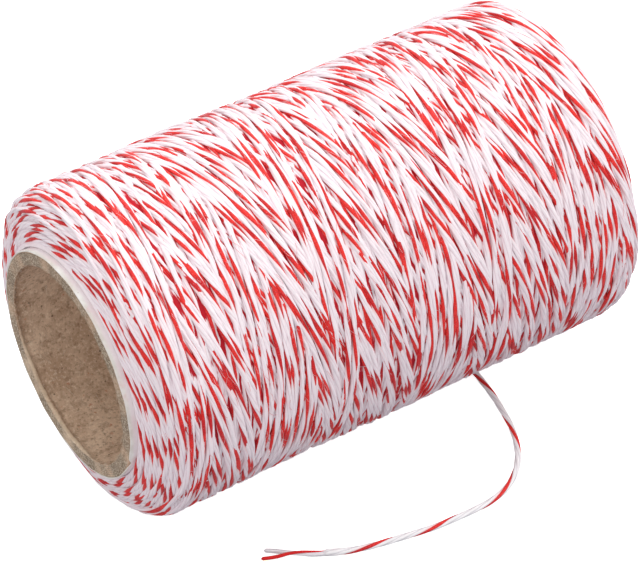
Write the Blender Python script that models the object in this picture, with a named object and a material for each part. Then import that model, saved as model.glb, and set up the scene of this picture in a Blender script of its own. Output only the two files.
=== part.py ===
"""A roll of red and white butchers twine, lying on its side with its loose end on the surface.

Metres, +Z up. The roll's axis runs along X. The origin is on the surface that the roll lies on,
under the middle of the core. The camera side of the roll is -Y.

A board tube with a white paper wrap carries the winding. The winding is one solid with its main
twists raised in its face: proud bands whose turns run straight round the roll, and between them
lower zones whose turns cross it on a slant. One end of the twine has come off underneath, curls
out over the surface, and has come apart into its plies at the tip.
"""
import math

import bmesh
import bpy
from mathutils import Vector

MM = 0.001

# Core, in millimetres
CORE_LENGTH = 139.0
CORE_BORE = 50.0
CORE_OUTSIDE = 57.0
WRAP_THICKNESS = 0.4
RIM_ROUNDING = 0.35
GAP = 0.3

# Winding, in millimetres and degrees
WOUND_WIDTH = 134.0
WOUND_RADIUS = 41.3
TAPER = 0.0033
COLLAR = 0.7
SHOULDERS = {
    "near": {"length": 9.2, "power": 1.5},
    "far": {"length": 8.15, "power": 2.33},
}
SHOULDER_STEPS = 5
SHOULDER_LOOPS = 0.55
FLAT_DEPTH = 0.5
FLAT_COLUMNS = 1

# Bands of straight turns, with slanted turns between them
BAND_COUNT = 5
BAND_PITCH = 21.4
FIRST_BAND = -42.5
BAND_WIDTH = 11.2
BAND_SWING = 4.5
BAND_PHASE = 50.0
NARROWEST_ZONE = 2.0
BAND_STEPS = 9
SLANT_STEPS = 3

# A twist is a valley and two crest lines. It stands for two turns side by side.
TWIST_LINES = 3
UNDER = {"band_crest": 0.0, "band_valley": 0.7, "slant_crest": 0.25, "slant_valley": 0.95, "edge": 0.75}
LUMP_HEIGHT = 0.2
LUMPS = (
    {"around": 3, "along": 0.09, "start": 0.4},
    {"around": 5, "along": -0.14, "start": 2.1},
)

# Loose end, in millimetres
TWINE_DIAMETER = 1.56
RED_PLY_DIAMETER = 0.9
WHITE_PLIES_DIAMETER = 1.2
LIFT = 0.02
POINT_SPACING = 3.6
PLY_POINT_SPACING = 2.2
LOOSE_END_ROUTE = (
    (31.3, -10.9), (31.3, -16.8), (31.1, -22.5), (30.6, -28.6), (29.7, -34.3), (28.5, -39.9),
    (26.6, -44.9), (24.0, -49.4), (20.4, -53.3), (16.1, -56.0), (11.2, -57.4), (6.2, -57.7),
    (0.6, -57.6), (-4.8, -57.3), (-9.8, -56.5), (-14.9, -55.6), (-19.8, -54.6), (-24.5, -53.3),
    (-28.2, -51.8), (-31.2, -50.2),
)
RED_PLY_ROUTE = ((-31.8, -50.9), (-34.6, -49.4), (-38.2, -46.9), (-41.4, -44.9), (-44.4, -43.3))
WHITE_PLIES_ROUTE = ((-31.2, -49.6), (-33.9, -47.7), (-37.0, -45.3), (-39.6, -43.4), (-42.2, -41.6))

# Colours and finish
FINISHES = {
    "kraft_board": {"colour": (0.42, 0.33, 0.26), "roughness": 0.85},
    "white_paper": {"colour": (0.83, 0.80, 0.75), "roughness": 0.7},
    "wound_twine": {"colour": (0.82, 0.62, 0.62), "roughness": 0.9},
    "twisted_twine": {"colour": (0.80, 0.55, 0.55), "roughness": 0.9},
    "red_ply": {"colour": (0.60, 0.03, 0.05), "roughness": 0.9},
    "white_plies": {"colour": (0.85, 0.84, 0.82), "roughness": 0.9},
}

# Worked out from the sizes above
SIDES = 66
AXIS_HEIGHT = WOUND_RADIUS - FLAT_DEPTH
WRAP_RADIUS = CORE_OUTSIDE / 2
BOARD_RADIUS = WRAP_RADIUS - WRAP_THICKNESS - GAP
WINDING_BORE = WRAP_RADIUS + GAP
STRAIGHT_START = -WOUND_WIDTH / 2 + SHOULDERS["near"]["length"]
STRAIGHT_END = WOUND_WIDTH / 2 - SHOULDERS["far"]["length"]


def clear_scene():
    """Remove every object that is in the file."""
    for thing in list(bpy.data.objects):
        bpy.data.objects.remove(thing, do_unlink=True)


def finish(name):
    """A material with one of the named finishes."""
    material = bpy.data.materials.new(name)
    material.use_nodes = True
    shader = material.node_tree.nodes["Principled BSDF"]
    shader.inputs["Base Color"].default_value = (*FINISHES[name]["colour"], 1.0)
    shader.inputs["Roughness"].default_value = FINISHES[name]["roughness"]
    shader.inputs["Metallic"].default_value = 0.0
    return material


def add_object(name, mesh, material_name):
    """Link a mesh or a curve to the scene as a named object."""
    thing = bpy.data.objects.new(name, mesh)
    mesh.materials.append(finish(material_name))
    bpy.context.scene.collection.objects.link(thing)
    return thing


def around(index):
    """The angle of a point on a ring: 0 is the top, and it grows towards the camera side."""
    return 2 * math.pi * index / SIDES


def place(angle, radius, x):
    """A point at an angle and radius from the roll's axis, in metres."""
    return Vector((x, -radius * math.sin(angle), AXIS_HEIGHT + radius * math.cos(angle))) * MM


def mesh_object(name, points, faces, material_name):
    """An object from points and faces, with its faces pointing out and shaded smooth."""
    work = bmesh.new()
    corners = [work.verts.new(point) for point in points]
    for face in faces:
        work.faces.new([corners[index] for index in face])
    bmesh.ops.recalc_face_normals(work, faces=work.faces)
    mesh = bpy.data.meshes.new(name)
    work.to_mesh(mesh)
    work.free()
    mesh.shade_smooth()
    mesh.set_sharp_from_angle(angle=math.radians(50))
    return add_object(name, mesh, material_name)


def ring_faces(first, second, shift=0):
    """Triangles between two rings of points. The second ring is met `shift` points further on."""
    faces = []
    for index in range(SIDES):
        a = first + index
        b = first + (index + 1) % SIDES
        c = second + (index + 1 + shift) % SIDES
        d = second + (index + shift) % SIDES
        faces += [(a, b, d), (b, c, d)]
    return faces


def turned_sleeve(name, inner, outer, length, rounding, material_name):
    """A sleeve round the roll's axis with rounded rims, from its closed section."""
    end = length / 2
    section = (
        (inner, -end + rounding), (inner + rounding, -end), (outer - rounding, -end), (outer, -end + rounding),
        (outer, end - rounding), (outer - rounding, end), (inner + rounding, end), (inner, end - rounding),
    )
    points = [place(around(index), radius, x) for radius, x in section for index in range(SIDES)]
    faces = []
    for row in range(len(section)):
        faces += ring_faces(row * SIDES, (row + 1) % len(section) * SIDES)
    return mesh_object(name, points, faces, material_name)


def outer_radius(x):
    """The winding's outer radius, a little less at the far end."""
    return WOUND_RADIUS - TAPER * x


def shoulder_rows(side):
    """Rings from the core up to the outer radius at one end, on a superellipse."""
    shape = SHOULDERS[side]
    sign = -1 if side == "near" else 1
    power = 2 / shape["power"]
    rows = []
    for step in range(SHOULDER_STEPS):
        turn = math.pi / 2 * step / SHOULDER_STEPS
        x = sign * (WOUND_WIDTH / 2 - shape["length"] * (1 - math.cos(turn) ** power))
        climb = math.sin(turn) ** power
        loop = SHOULDER_LOOPS * math.sin(2 * turn)
        under = [0.0 if index % TWIST_LINES else loop for index in range(SIDES)]
        rows.append({"x": [x] * SIDES, "climb": climb, "under": under, "shift": 0})
    return rows


def zone_edges(angle):
    """Where the bands and the slanted zones meet along X, at one angle round the roll."""
    edges = [STRAIGHT_START]
    for band in range(-1, BAND_COUNT):
        start = FIRST_BAND + band * BAND_PITCH
        swing = BAND_SWING * math.cos(angle + math.radians(BAND_PHASE))
        width = BAND_WIDTH - swing if band % 2 == 0 else BAND_WIDTH + swing
        if band >= 0:
            edges.append(start)
        low = edges[-1] + NARROWEST_ZONE
        high = min(start + BAND_PITCH, STRAIGHT_END) - NARROWEST_ZONE
        edges.append(min(max(start + width, low), high))
    edges.append(STRAIGHT_END)
    return edges


def zone_rows():
    """Rings across the straight part: crests run along the rings in a band, across them in a slant."""
    edges = [zone_edges(around(index)) for index in range(SIDES)]
    rows = []
    for zone in range(len(edges[0]) - 1):
        slanted = zone % 2 == 1
        steps = SLANT_STEPS if slanted else BAND_STEPS
        for step in range(steps):
            x = [edge[zone] + (edge[zone + 1] - edge[zone]) * step / steps for edge in edges]
            if step == 0:
                under = [UNDER["edge"]] * SIDES
            elif slanted:
                under = [
                    UNDER["slant_crest" if index % TWIST_LINES else "slant_valley"] for index in range(SIDES)
                ]
            else:
                under = [UNDER["band_crest" if step % TWIST_LINES else "band_valley"]] * SIDES
            rows.append({"x": x, "climb": 1.0, "under": under, "shift": TWIST_LINES if slanted else 0})
    rows.append({"x": [STRAIGHT_END] * SIDES, "climb": 1.0, "under": [UNDER["edge"]] * SIDES, "shift": 0})
    return rows


def lump(angle, x):
    """The slow unevenness of a roll wound by machine at speed, never above the outer radius."""
    waves = [math.sin(wave["around"] * angle + wave["along"] * x + wave["start"]) for wave in LUMPS]
    return LUMP_HEIGHT * (sum(waves) / len(waves) - 1)


def wound_point(index, row):
    """A point of the winding's face. The face is pressed flat where the roll rests."""
    x = row["x"][index]
    angle = around(index)
    columns_off = abs(index - SIDES // 2)
    relief = min(max(columns_off - FLAT_COLUMNS, 0) / TWIST_LINES, 1.0)
    lowest = WINDING_BORE + COLLAR
    uneven = (lump(angle, x) - row["under"][index]) * relief
    point = place(angle, lowest + (outer_radius(x) - lowest) * row["climb"] + uneven * row["climb"], x)
    pressed = row["climb"] == 1.0 and columns_off <= FLAT_COLUMNS
    point.z = 0.0 if pressed else max(point.z, 0.0)
    return point


def winding():
    """The wound twine: its raised face, its two shoulders and the bore that the core fills."""
    rows = shoulder_rows("near") + zone_rows() + shoulder_rows("far")[::-1]
    points = []
    for row in rows:
        points += [wound_point(index, row) for index in range(SIDES)]
    faces = []
    for number in range(len(rows) - 1):
        faces += ring_faces(number * SIDES, (number + 1) * SIDES, rows[number]["shift"])
    last = (len(rows) - 1) * SIDES
    bore_far = len(points)
    bore_near = bore_far + SIDES
    for x in (WOUND_WIDTH / 2, -WOUND_WIDTH / 2):
        points += [place(around(index), WINDING_BORE, x) for index in range(SIDES)]
    faces += ring_faces(last, bore_far)
    faces += ring_faces(bore_far, bore_near)
    faces += ring_faces(bore_near, 0)
    return mesh_object("winding", points, faces, "wound_twine")


def smooth_route(route, spacing):
    """Points at even steps on a smooth curve through a route's own points."""
    points = [Vector(point) for point in route]
    points = [2 * points[0] - points[1], *points, 2 * points[-1] - points[-2]]
    fine = []
    for a, b, c, d in zip(points, points[1:], points[2:], points[3:]):
        for step in range(12):
            t = step / 12
            fine.append(
                0.5 * (2 * b + (c - a) * t + (2 * a - 5 * b + 4 * c - d) * t**2 + (3 * b - a - 3 * c + d) * t**3)
            )
    fine.append(points[-2])
    lengths = [0.0]
    for a, b in zip(fine, fine[1:]):
        lengths.append(lengths[-1] + (b - a).length)
    count = max(round(lengths[-1] / spacing), 2)
    even = []
    for number in range(count + 1):
        wanted = lengths[-1] * number / count
        after = next((k for k, length in enumerate(lengths) if length >= wanted - 1e-9 and k), len(fine) - 1)
        share = (wanted - lengths[after - 1]) / (lengths[after] - lengths[after - 1])
        even.append(fine[after - 1].lerp(fine[after], share))
    return even


def laid_cord(name, route, diameter, spacing, material_name):
    """A cord lying on the surface along a flat route, as a curve with round section and closed ends."""
    curve = bpy.data.curves.new(name, "CURVE")
    curve.dimensions = "3D"
    curve.bevel_depth = diameter / 2 * MM
    curve.bevel_resolution = 2
    curve.use_fill_caps = True
    centres = smooth_route(route, spacing)
    spline = curve.splines.new("POLY")
    spline.points.add(len(centres) - 1)
    for point, centre in zip(spline.points, centres):
        point.co = (centre.x * MM, centre.y * MM, (diameter / 2 + LIFT) * MM, 1.0)
    return add_object(name, curve, material_name)


def build():
    """Make every piece of the roll."""
    clear_scene()
    board_rounding = RIM_ROUNDING
    wrap_rounding = WRAP_THICKNESS / 4
    turned_sleeve("core_tube", CORE_BORE / 2, BOARD_RADIUS, CORE_LENGTH, board_rounding, "kraft_board")
    turned_sleeve(
        "core_wrap", BOARD_RADIUS + GAP, WRAP_RADIUS, CORE_LENGTH, wrap_rounding, "white_paper"
    )
    winding()
    laid_cord("loose_end", LOOSE_END_ROUTE, TWINE_DIAMETER, POINT_SPACING, "twisted_twine")
    laid_cord("loose_ply_red", RED_PLY_ROUTE, RED_PLY_DIAMETER, PLY_POINT_SPACING, "red_ply")
    laid_cord("loose_plies_white", WHITE_PLIES_ROUTE, WHITE_PLIES_DIAMETER, PLY_POINT_SPACING, "white_plies")


build()
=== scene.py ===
# %% [markdown]
# # A roll of butchers twine
# The object is a board tube with red and white cotton twine wound on it, lying on its side. Four thin
# plies, one red and three white, are twisted together into the twine, so a red stripe climbs round it
# like the stripe on a candy cane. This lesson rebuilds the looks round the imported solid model: first
# the camera and the loose end of the twine, then the wound twine, then the core, and last the light.
# Everything is in the solid model's own frame, so a piece goes where the solids say.

# %% Load the solid model
import math

import bmesh
import bpy
import numpy as np
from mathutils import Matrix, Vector


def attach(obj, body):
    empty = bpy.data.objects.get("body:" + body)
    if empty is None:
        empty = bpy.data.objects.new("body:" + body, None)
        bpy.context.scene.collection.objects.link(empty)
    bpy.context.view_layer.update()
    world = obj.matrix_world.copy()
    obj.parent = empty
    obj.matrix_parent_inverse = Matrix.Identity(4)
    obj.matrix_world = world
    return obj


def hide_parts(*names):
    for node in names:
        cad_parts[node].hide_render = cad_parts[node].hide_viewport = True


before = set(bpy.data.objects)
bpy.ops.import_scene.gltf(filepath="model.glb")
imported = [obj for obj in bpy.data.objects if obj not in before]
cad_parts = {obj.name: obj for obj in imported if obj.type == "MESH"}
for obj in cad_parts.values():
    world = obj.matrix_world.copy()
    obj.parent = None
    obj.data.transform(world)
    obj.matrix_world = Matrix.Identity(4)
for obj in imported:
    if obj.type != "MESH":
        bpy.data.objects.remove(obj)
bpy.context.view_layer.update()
MM = 0.001
print("nodes:", ", ".join(sorted(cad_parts)))

# %% [markdown]
# ## The camera
# The roll was seen through a long lens from the near end, a little above, and the two ellipses of the
# tube's rim fix where the camera stood. A long lens far away keeps both ends of the roll nearly the
# same size, which a short lens close by would not.

# %% Set up the camera
CAMERA_PLACE = (-443.355, -699.875, 849.237)
CAMERA_HEADING = 32.33
CAMERA_DROP = 44.62
CAMERA_LENS = 275.68

camera_data = bpy.data.cameras.new("camera")
camera_data.lens = CAMERA_LENS
camera_data.sensor_width = 36.0
camera_data.clip_start = 0.05
camera_data.clip_end = 20.0
camera = bpy.data.objects.new("camera", camera_data)
camera.location = Vector(CAMERA_PLACE) * MM
camera.rotation_euler = (math.radians(90 - CAMERA_DROP), 0, math.radians(-CAMERA_HEADING))
bpy.context.scene.collection.objects.link(camera)
bpy.context.scene.camera = camera
print("camera stands", round(camera.location.length, 2), "m away")

# %% [markdown]
# ## Helpers for node trees
# Geometry and colour are both made by node trees here. One helper adds a node, sets it and feeds its
# inputs, so that a tree reads from top to bottom like a recipe.


# %% Helpers that add nodes
def add_node(tree, kind, feeds=None, **settings):
    """A node whose inputs are given as values or as the sockets that feed them."""
    made = tree.nodes.new(kind)
    for name, value in settings.items():
        setattr(made, name, value)
    for socket, value in (feeds or {}).items():
        if isinstance(value, bpy.types.NodeSocket):
            tree.links.new(value, made.inputs[socket])
        else:
            made.inputs[socket].default_value = value
    return made


def sum_of(tree, operation, *values, clamp=False):
    """One arithmetic step on numbers."""
    feeds = dict(enumerate(values))
    return add_node(tree, "ShaderNodeMath", feeds, operation=operation, use_clamp=clamp).outputs[0]


def vector_sum(tree, operation, *values, output=0):
    """One arithmetic step on vectors."""
    return add_node(tree, "ShaderNodeVectorMath", dict(enumerate(values)), operation=operation).outputs[output]


def remap(tree, value, low, high, to_low=0.0, to_high=1.0):
    """A number eased from one range to another."""
    feeds = {"Value": value, "From Min": low, "From Max": high, "To Min": to_low, "To Max": to_high}
    return add_node(tree, "ShaderNodeMapRange", feeds, interpolation_type="SMOOTHSTEP").outputs[0]


def blend_colours(tree, share, first, second, how="MIX"):
    """Two colours mixed by a share."""
    mix = add_node(tree, "ShaderNodeMix", data_type="RGBA", blend_type=how)
    for place, value in ((0, share), (6, first), (7, second)):
        if isinstance(value, bpy.types.NodeSocket):
            tree.links.new(value, mix.inputs[place])
        elif place == 0:
            mix.inputs[place].default_value = value
        else:
            mix.inputs[place].default_value = (*value, 1.0)
    return mix.outputs[2]


def noise(tree, vector, scale, detail=3.0, roughness=0.55):
    """Soft random values between 0 and 1."""
    feeds = {"Vector": vector, "Scale": scale, "Detail": detail, "Roughness": roughness}
    return add_node(tree, "ShaderNodeTexNoise", feeds).outputs[0]


def new_finish(name, roughness, sheen=0.0):
    """A material with its shader, ready for the nodes that colour it."""
    material = bpy.data.materials.new(name)
    material.use_nodes = True
    shader = material.node_tree.nodes["Principled BSDF"]
    shader.inputs["Roughness"].default_value = roughness
    shader.inputs["Sheen Weight"].default_value = sheen
    shader.inputs["Specular IOR Level"].default_value = 0.25
    return material, material.node_tree, shader


# %% [markdown]
# ## The twine's finish
# Bleached cotton is a soft bright white and the dyed ply is a warm red, deeper where the dye took well.
# Painted shade darkens both in the valleys between the plies: the white to a cool grey, the red to a
# deeper red. On the roll the white and its painted shade carry a pink tint of painted red bounce,
# which the loose end's whites don't. Each ply is a bundle of fibres that run nearly along it, and a few
# white fibres stray over the red. The colour follows the twine, so it is painted in the twine's own
# measure: how far along it, and how far round it. One quarter of the way round is the red ply.
# Stretched noise makes the fibres, in the colour and in the bump alike.


# %% Make the twine's finish
PLIES = 4
TWINE_MAP = "twine_measure"
# In the twisted twine the shaded colours are painted shade for the valleys between the plies, and RED_DEEP is
# painted shade and uneven dye. In the untwisted plies they are the darker fibres.
WHITE_LIT = (0.95, 0.935, 0.945)
WHITE_SHADED = (0.66, 0.62, 0.67)
# The wound white and its shaded colour carry a pink tint of painted red bounce from the red round them.
WOUND_WHITE_WITH_PAINTED_RED_BOUNCE = (0.94, 0.85, 0.885)
WOUND_SHADED = (0.78, 0.58, 0.64)
PINK = (0.92, 0.62, 0.63)
STRAY_PINK = (0.88, 0.36, 0.37)
RED_LIT = (0.84, 0.026, 0.020)
RED_DEEP = (0.56, 0.008, 0.014)
RED_DARKEST = (0.22, 0.003, 0.010)


def twine_finish(name, lit, shaded):
    """Red and white cotton: one ply of four is red."""
    material, tree, shader = new_finish(name, roughness=0.5, sheen=0.07)
    shader.inputs["Specular IOR Level"].default_value = 0.26
    measure = add_node(tree, "ShaderNodeUVMap", uv_map=TWINE_MAP).outputs[0]
    parts = add_node(tree, "ShaderNodeSeparateXYZ", {0: measure})
    along, across = parts.outputs[0], parts.outputs[1]

    def stretched(rate_along, rate_across, shift):
        first = sum_of(tree, "MULTIPLY", along, rate_along)
        second = sum_of(tree, "MULTIPLY", across, rate_across)
        return add_node(tree, "ShaderNodeCombineXYZ", {0: first, 1: second, 2: shift}).outputs[0]

    fibres = noise(tree, stretched(0.35, 34.0, 0.0), 1.0, detail=4.0, roughness=0.65)
    strays = noise(tree, stretched(1.8, 26.0, 4.0), 1.0, detail=3.0, roughness=0.6)
    specks = noise(tree, stretched(3.0, 22.0, 13.0), 1.0, detail=2.0)
    waver = noise(tree, stretched(0.3, 5.0, 9.0), 1.0)
    place = add_node(tree, "ShaderNodeTexCoord").outputs["Object"]
    dye = noise(tree, place, 160.0, detail=2.0)

    in_ply = sum_of(tree, "FRACT", sum_of(tree, "MULTIPLY", across, float(PLIES)))
    from_crest = sum_of(tree, "ABSOLUTE", sum_of(tree, "MULTIPLY_ADD", in_ply, 2.0, -1.0))
    valley = remap(tree, from_crest, 0.62, 1.0)

    middle = 0.5 / PLIES
    wavered = sum_of(tree, "MULTIPLY_ADD", sum_of(tree, "SUBTRACT", waver, 0.5), 0.035, across)
    off_red = sum_of(tree, "ABSOLUTE", sum_of(tree, "SUBTRACT", wavered, middle))
    red_share = remap(tree, off_red, middle + 0.014, middle - 0.004)
    bled = remap(tree, off_red, middle + 0.12, middle + 0.006, 0.0, 0.9)

    # Painted shade: the white greys in the valleys between the plies, with the fibres' own darker streaks.
    valley_shade_and_fibres = sum_of(tree, "MULTIPLY_ADD", valley, 0.6, remap(tree, fibres, 0.58, 0.30, 0.0, 0.3), clamp=True)
    white = blend_colours(tree, valley_shade_and_fibres, lit, shaded)
    white = blend_colours(tree, bled, white, PINK)
    # Painted shade in the valleys between the plies, with dye that took unevenly, deepens the red.
    valley_shade_and_dye = sum_of(tree, "MULTIPLY_ADD", valley, 0.6, remap(tree, dye, 0.42, 0.64, 0.0, 0.8), clamp=True)
    red = blend_colours(tree, valley_shade_and_dye, RED_LIT, RED_DEEP)
    red = blend_colours(tree, remap(tree, specks, 0.52, 0.66, 0.0, 0.6), red, RED_DARKEST)
    red = blend_colours(tree, remap(tree, strays, 0.56, 0.72, 0.0, 0.5), red, STRAY_PINK)
    colour = blend_colours(tree, red_share, white, red)
    tree.links.new(colour, shader.inputs["Base Color"])

    height = sum_of(tree, "MULTIPLY_ADD", valley, -0.6, sum_of(tree, "MULTIPLY_ADD", strays, 0.4, fibres))
    bump = add_node(tree, "ShaderNodeBump", {"Strength": 0.6, "Distance": 0.00014, "Height": height})
    tree.links.new(bump.outputs[0], shader.inputs["Normal"])
    return material


loose_material = twine_finish("loose_cotton_twine", WHITE_LIT, WHITE_SHADED)
wound_material = twine_finish("wound_cotton_twine", WOUND_WHITE_WITH_PAINTED_RED_BOUNCE, WOUND_SHADED)
print("twine finish:", len(wound_material.node_tree.nodes), "nodes")

# %% [markdown]
# ## Twine by Geometry Nodes
# Twine is one short section, repeated along a path and turned a little at each step. The tree below
# takes bare wires, turns them into curves, twists them, and sweeps a section with four lobes along
# them. Every point of a wire carries what the tree needs to know there: how many turns of twist lie
# behind it, how far along the twine it is, how full the twine is, and which way is out of the roll.
# The section is left open at one corner, so that the measure round it runs cleanly from 0 to 1, and
# its two edges are merged afterwards. Last, the twine is pressed a little flat against the roll.

# %% Build the twine tree
SECTION_POINTS = 16


def new_tree(name, numbers, last="Finish"):
    """A Geometry Nodes tree with named inputs for its sizes and its finish."""
    tree = bpy.data.node_groups.new(name, "GeometryNodeTree")
    tree.interface.new_socket("Geometry", in_out="INPUT", socket_type="NodeSocketGeometry")
    for label in numbers:
        tree.interface.new_socket(label, in_out="INPUT", socket_type="NodeSocketFloat")
    tree.interface.new_socket(last, in_out="INPUT", socket_type="NodeSocketMaterial")
    tree.interface.new_socket("Geometry", in_out="OUTPUT", socket_type="NodeSocketGeometry")
    return tree, add_node(tree, "NodeGroupInput").outputs, add_node(tree, "NodeGroupOutput")


def carried(tree, name, kind="FLOAT"):
    """A value that the wire's points carry."""
    return add_node(tree, "GeometryNodeInputNamedAttribute", {"Name": name}, data_type=kind).outputs[0]


def close_tree(tree, geometry, finish, output):
    """Smooth faces, real geometry and a finish: the end of every tree here."""
    smooth = add_node(tree, "GeometryNodeSetShadeSmooth", {"Geometry": geometry}).outputs[0]
    real = add_node(tree, "GeometryNodeRealizeInstances", {"Geometry": smooth}).outputs[0]
    done = add_node(tree, "GeometryNodeSetMaterial", {"Geometry": real, "Material": finish}).outputs[0]
    tree.links.new(done, output.inputs[0])


def build_twine_tree():
    """The tree that turns wires into twisted twine."""
    numbers = ("Radius", "Valley Depth", "Red Ply Share", "Flatness", "Spread", "Lowest Point")
    tree, given, output = new_tree("twisted_twine", numbers)
    wire = add_node(tree, "GeometryNodeMeshToCurve", {"Mesh": given["Geometry"]}).outputs[0]
    here = add_node(tree, "GeometryNodeInputPosition").outputs[0]
    feeds = {"Geometry": wire, "Name": "centre", "Value": here}
    wire = add_node(tree, "GeometryNodeStoreNamedAttribute", feeds, data_type="FLOAT_VECTOR").outputs[0]
    twist = sum_of(tree, "MULTIPLY", carried(tree, "turns"), -2 * math.pi)
    wire = add_node(tree, "GeometryNodeSetCurveTilt", {"Curve": wire, "Tilt": twist}).outputs[0]

    number = add_node(tree, "GeometryNodeInputIndex").outputs[0]
    share = sum_of(tree, "DIVIDE", number, float(SECTION_POINTS))
    in_red = sum_of(tree, "MULTIPLY", sum_of(tree, "MINIMUM", share, 1 / PLIES), float(PLIES))
    in_white = sum_of(tree, "MULTIPLY_ADD", share, PLIES / (PLIES - 1), -1 / (PLIES - 1), clamp=True)
    white_room = sum_of(tree, "SUBTRACT", 1.0, given["Red Ply Share"])
    turned = sum_of(tree, "MULTIPLY_ADD", in_white, white_room, sum_of(tree, "MULTIPLY", in_red, given["Red Ply Share"]))
    angle = sum_of(tree, "MULTIPLY", turned, 2 * math.pi)
    in_ply = sum_of(tree, "MODULO", sum_of(tree, "MULTIPLY", number, PLIES / SECTION_POINTS), 1.0)
    from_crest = sum_of(tree, "ABSOLUTE", sum_of(tree, "MULTIPLY_ADD", in_ply, 2.0, -1.0))
    depth = sum_of(tree, "MULTIPLY", sum_of(tree, "POWER", from_crest, 3.0), given["Valley Depth"])
    reach = sum_of(tree, "MULTIPLY", given["Radius"], sum_of(tree, "SUBTRACT", 1.0, depth))
    across = sum_of(tree, "MULTIPLY", reach, sum_of(tree, "COSINE", angle))
    up = sum_of(tree, "MULTIPLY", reach, sum_of(tree, "SINE", angle))
    spot = add_node(tree, "ShaderNodeCombineXYZ", {0: across, 1: up}).outputs[0]
    line = add_node(tree, "GeometryNodeMeshLine", {"Count": SECTION_POINTS + 1}).outputs[0]
    line = add_node(tree, "GeometryNodeSetPosition", {"Geometry": line, "Position": spot}).outputs[0]
    feeds = {"Geometry": line, "Name": "round", "Value": share}
    line = add_node(tree, "GeometryNodeStoreNamedAttribute", feeds, data_type="FLOAT").outputs[0]
    section = add_node(tree, "GeometryNodeMeshToCurve", {"Mesh": line}).outputs[0]

    body = add_node(tree, "GeometryNodeCurveToMesh", {"Curve": wire, "Profile Curve": section}).outputs[0]
    measure = add_node(tree, "ShaderNodeCombineXYZ", {0: carried(tree, "run"), 1: carried(tree, "round")})
    feeds = {"Geometry": body, "Name": TWINE_MAP, "Value": measure.outputs[0]}
    body = add_node(
        tree, "GeometryNodeStoreNamedAttribute", feeds, data_type="FLOAT2", domain="CORNER"
    ).outputs[0]

    centre, out = carried(tree, "centre", "FLOAT_VECTOR"), carried(tree, "out", "FLOAT_VECTOR")
    reach = vector_sum(tree, "SUBTRACT", add_node(tree, "GeometryNodeInputPosition").outputs[0], centre)
    rise = vector_sum(tree, "DOT_PRODUCT", reach, out, output=1)
    outward = add_node(tree, "ShaderNodeVectorMath", {0: out, 3: rise}, operation="SCALE").outputs[0]
    sideways = vector_sum(tree, "SUBTRACT", reach, outward)
    wide = sum_of(tree, "MULTIPLY", given["Spread"], carried(tree, "swell"))
    thin = sum_of(tree, "MULTIPLY", sum_of(tree, "SUBTRACT", 1.0, given["Flatness"]), carried(tree, "swell"))
    sideways = add_node(tree, "ShaderNodeVectorMath", {0: sideways, 3: wide}, operation="SCALE").outputs[0]
    outward = add_node(tree, "ShaderNodeVectorMath", {0: outward, 3: thin}, operation="SCALE").outputs[0]
    spot = vector_sum(tree, "ADD", centre, vector_sum(tree, "ADD", sideways, outward))
    parts = add_node(tree, "ShaderNodeSeparateXYZ", {0: spot}).outputs
    height = sum_of(tree, "MAXIMUM", parts[2], given["Lowest Point"])
    spot = add_node(tree, "ShaderNodeCombineXYZ", {0: parts[0], 1: parts[1], 2: height}).outputs[0]
    body = add_node(tree, "GeometryNodeSetPosition", {"Geometry": body, "Position": spot}).outputs[0]
    body = add_node(tree, "GeometryNodeMergeByDistance", {"Geometry": body, "Distance": 1e-7}).outputs[0]
    close_tree(tree, body, given["Finish"], output)
    return tree


twine_tree = build_twine_tree()
print("twine tree:", len(twine_tree.nodes), "nodes")

# %% [markdown]
# ## From wires to a finished piece
# A wire is a chain of points in numpy arrays. The next helper writes wires into a mesh with the values
# their points carry, runs a tree over it, and keeps the result as a plain mesh.

# %% Helpers that lay wires and run a tree
CARRIED = {"turns": "FLOAT", "run": "FLOAT", "swell": "FLOAT", "out": "FLOAT_VECTOR"}


def wire_object(name, wires):
    """Wires as one mesh of loose edges. A wire is a dict of arrays, with its points in mm."""
    points = np.concatenate([wire["points"] for wire in wires]) * MM
    counts = [len(wire["points"]) for wire in wires]
    starts = np.cumsum([0, *counts[:-1]])
    edges = np.concatenate([np.arange(s, s + n - 1) for s, n in zip(starts, counts)])
    mesh = bpy.data.meshes.new(name)
    mesh.vertices.add(len(points))
    mesh.vertices.foreach_set("co", points.astype(np.float32).ravel())
    mesh.edges.add(len(edges))
    mesh.edges.foreach_set("vertices", np.stack([edges, edges + 1], axis=1).astype(np.int32).ravel())
    for label, kind in CARRIED.items():
        if label in wires[0]:
            values = np.concatenate([wire[label] for wire in wires]).astype(np.float32)
            attribute = mesh.attributes.new(label, kind, "POINT")
            attribute.data.foreach_set("value" if kind == "FLOAT" else "vector", values.ravel())
    thing = bpy.data.objects.new(name, mesh)
    bpy.context.scene.collection.objects.link(thing)
    return thing


def run_tree(thing, tree, settings):
    """Run a tree over an object and keep what it makes as the object's own mesh."""
    modifier = thing.modifiers.new(tree.name, "NODES")
    modifier.node_group = tree
    for item in tree.interface.items_tree:
        if item.in_out == "INPUT" and item.name in settings:
            modifier[item.identifier] = settings[item.name]
    graph = bpy.context.evaluated_depsgraph_get()
    made = bpy.data.meshes.new_from_object(thing.evaluated_get(graph), depsgraph=graph)
    thing.modifiers.clear()
    thing.data = made
    for label in [*CARRIED, "centre", "round"]:
        if label in made.attributes:
            made.attributes.remove(made.attributes[label])
    made.name = thing.name
    made.calc_loop_triangles()
    print(thing.name, "has", len(made.loop_triangles), "triangles")
    return thing


def lengths_along(points):
    """How far along a chain of points each point is."""
    return np.concatenate([[0.0], np.cumsum(np.linalg.norm(np.diff(points, axis=0), axis=1))])


# %% [markdown]
# ## The loose end
# The twine's free end comes out under the roll, swings round on the surface and has come apart at the
# tip: the red ply has sprung over the three white ones. It lies where the solid model has it, on the
# same points. The red stripe's places along it are known, so the twist is laid to bring the red ply
# up just there. Near the tip the twist slackens and the twine gets fuller.

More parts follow.
